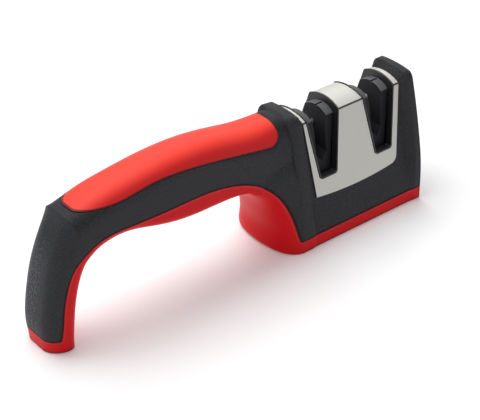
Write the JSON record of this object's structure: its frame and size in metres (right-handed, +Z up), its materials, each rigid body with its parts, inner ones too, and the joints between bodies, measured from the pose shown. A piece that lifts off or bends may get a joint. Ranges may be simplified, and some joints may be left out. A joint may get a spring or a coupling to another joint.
{
  "type": "pull through knife sharpener",
  "caption": "Free-standing pull through knife sharpener with an arched soft-grip handle, a bent steel cover and two tapered knife slots.",
  "frame": {"origin": "centre of the bounding box, on the surface the sharpener stands on", "axes": "+X along the length from the handle's foot to the head's tower, +Y to the rear across the width, +Z up"},
  "size_m": [0.2024, 0.042, 0.0698],
  "materials": {
    "upper_housing": "satin moulded black with a fine grain",
    "lower_housing": "semi-gloss moulded red",
    "top_grip": "soft satin red",
    "steel_cover": "brushed across the length",
    "coarse_bezel": "satin black",
    "fine_bezel": "satin black",
    "coarse_guide": "satin black with a fine grain",
    "fine_guide": "satin black with a fine grain",
    "carbide_blade_left": "ground dark carbide",
    "carbide_blade_right": "ground dark carbide",
    "blade_carrier": "plain moulded",
    "ceramic_rod_left": "fine matt ceramic",
    "ceramic_rod_right": "fine matt ceramic",
    "rod_carrier": "plain moulded",
    "module_plate": "plain moulded",
    "module_screws": "zinc plated",
    "base_screws": "zinc plated",
    "handle_screws": "zinc plated",
    "foot_screw": "zinc plated",
    "base_pad": "fine matt",
    "foot_pad": "fine matt"
  },
  "bodies": {
    "root": {"upper_housing": "upper_housing", "lower_housing": "lower_housing", "top_grip": "top_grip", "steel_cover": "steel_cover", "coarse_bezel": "coarse_bezel", "fine_bezel": "fine_bezel", "coarse_guide": "coarse_guide", "fine_guide": "fine_guide", "carbide_blade_left": "carbide_blade_left", "carbide_blade_right": "carbide_blade_right", "blade_carrier": "blade_carrier", "ceramic_rod_left": "ceramic_rod_left", "ceramic_rod_right": "ceramic_rod_right", "rod_carrier": "rod_carrier", "module_plate": "module_plate", "module_screws": "module_screws", "base_screws": "base_screws", "handle_screws": "handle_screws", "foot_screw": "foot_screw", "base_pad": "base_pad", "foot_pad": "foot_pad"}
  },
  "joints": []
}
